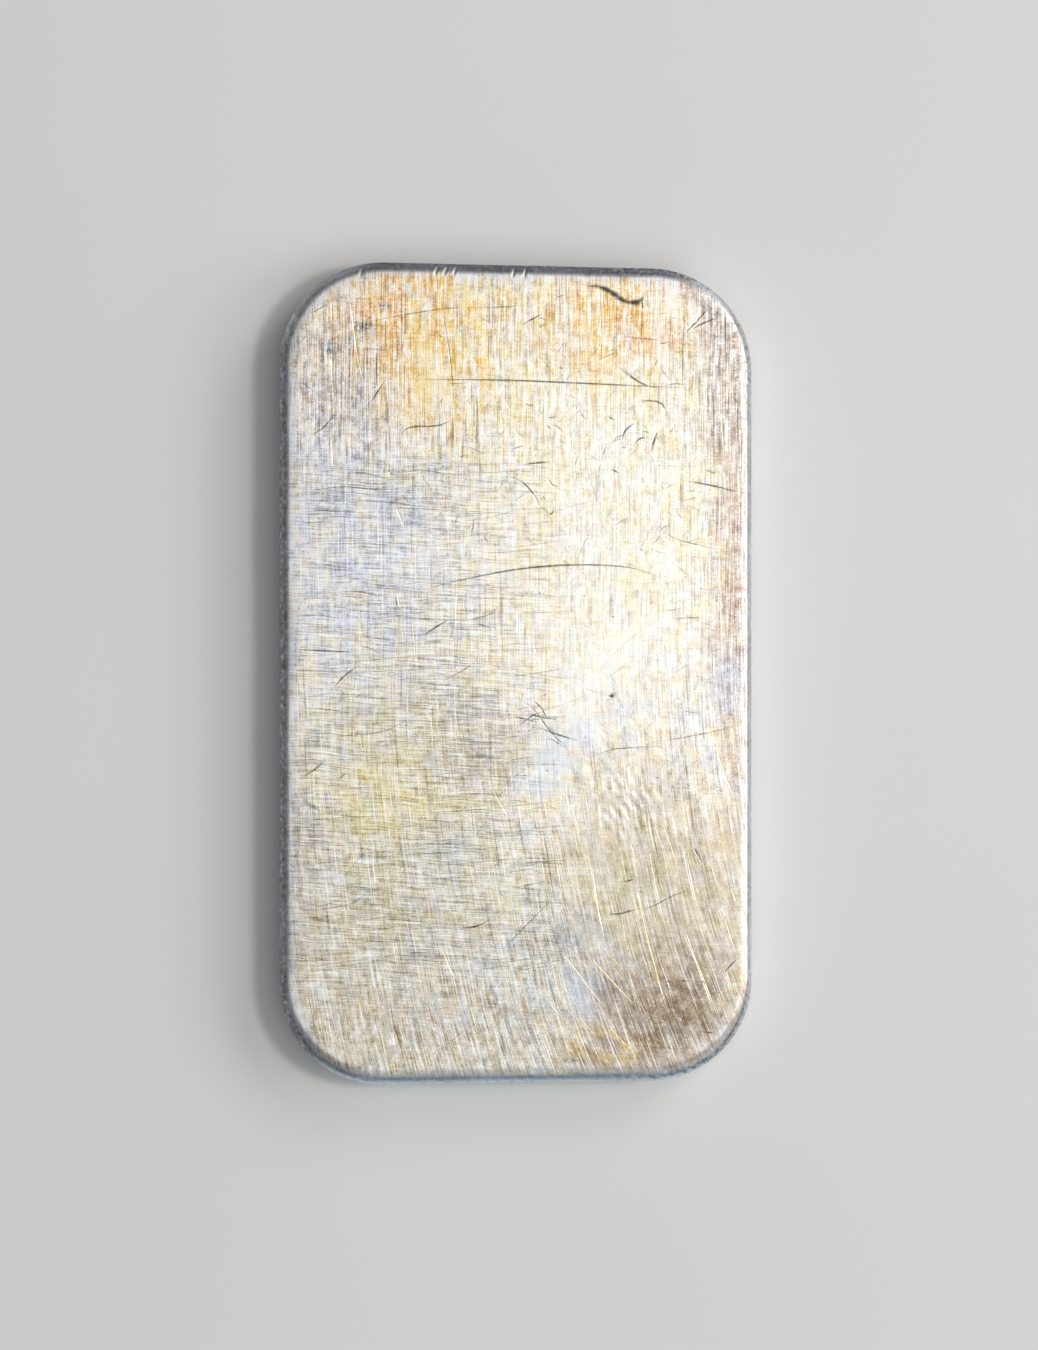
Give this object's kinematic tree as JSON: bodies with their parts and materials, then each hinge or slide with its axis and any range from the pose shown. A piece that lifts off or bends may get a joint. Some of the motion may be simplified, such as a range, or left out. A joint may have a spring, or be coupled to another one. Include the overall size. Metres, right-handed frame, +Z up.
{
  "type": "metal ingot",
  "caption": "Flat metal ingot with rounded corners and edges, tarnished and finely scratched, plain on its faces; raw stock that lies flat and stacks.",
  "frame": {"origin": "on the floor, in the middle of the rectangle that the bar fills", "axes": "+X across the bar to its right side, +Y along it to its head end, +Z up out of the blank face"},
  "size_m": [0.051, 0.0888, 0.0068],
  "materials": {
    "ingot": "worn silver with a straw-coloured tarnish, fine lengthwise rolling lines and handling scratches"
  },
  "bodies": {
    "root": {"ingot": "ingot"}
  },
  "joints": []
}
